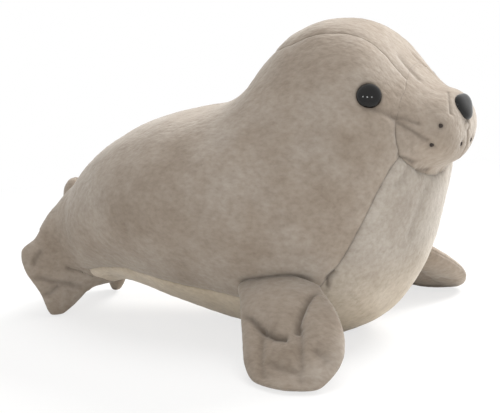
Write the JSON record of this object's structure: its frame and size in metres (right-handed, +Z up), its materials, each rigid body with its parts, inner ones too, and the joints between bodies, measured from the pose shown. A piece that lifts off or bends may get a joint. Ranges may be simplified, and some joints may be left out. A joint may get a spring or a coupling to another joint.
{
  "type": "plush seal",
  "caption": "Soft toy seal lying on its belly with its head raised, stuffed front and hind flippers, round glossy eyes and a small glossy nose.",
  "frame": {"origin": "centre of the bounding box's footprint on the ground, below the body", "axes": "+Z up, the seal faces -Y, its right side is at -X, and X = 0 is its plane of symmetry"},
  "size_m": [0.2302, 0.2976, 0.1859],
  "materials": {
    "grey_plush": "short warm grey plush",
    "pale_plush": "short pale plush",
    "stuffing": "white polyester fibre",
    "black_plastic": "polished black",
    "washer_plastic": "plain moulded",
    "thread": "dark brown thread"
  },
  "bodies": {
    "root": {"side_panel_right": "grey_plush", "side_panel_left": "grey_plush", "head_gusset": "grey_plush", "muzzle_panel": "grey_plush", "chest_belly_panel": "pale_plush", "tail": "grey_plush", "body_stuffing": "stuffing", "front_flipper_right_upper_panel": "grey_plush", "front_flipper_right_under_panel": "grey_plush", "front_flipper_right_stuffing": "stuffing", "front_flipper_left_upper_panel": "grey_plush", "front_flipper_left_under_panel": "grey_plush", "front_flipper_left_stuffing": "stuffing", "hind_flipper_right_upper_panel": "grey_plush", "hind_flipper_right_under_panel": "grey_plush", "hind_flipper_right_stuffing": "stuffing", "hind_flipper_left_upper_panel": "grey_plush", "hind_flipper_left_under_panel": "grey_plush", "hind_flipper_left_stuffing": "stuffing", "eye_right": "black_plastic", "eye_left": "black_plastic", "nose": "black_plastic", "eye_right_washer": "washer_plastic", "eye_left_washer": "washer_plastic", "nose_washer": "washer_plastic", "whisker_dot_right_1": "thread", "whisker_dot_right_2": "thread", "whisker_dot_right_3": "thread", "whisker_dot_left_1": "thread", "whisker_dot_left_2": "thread", "whisker_dot_left_3": "thread"}
  },
  "joints": []
}
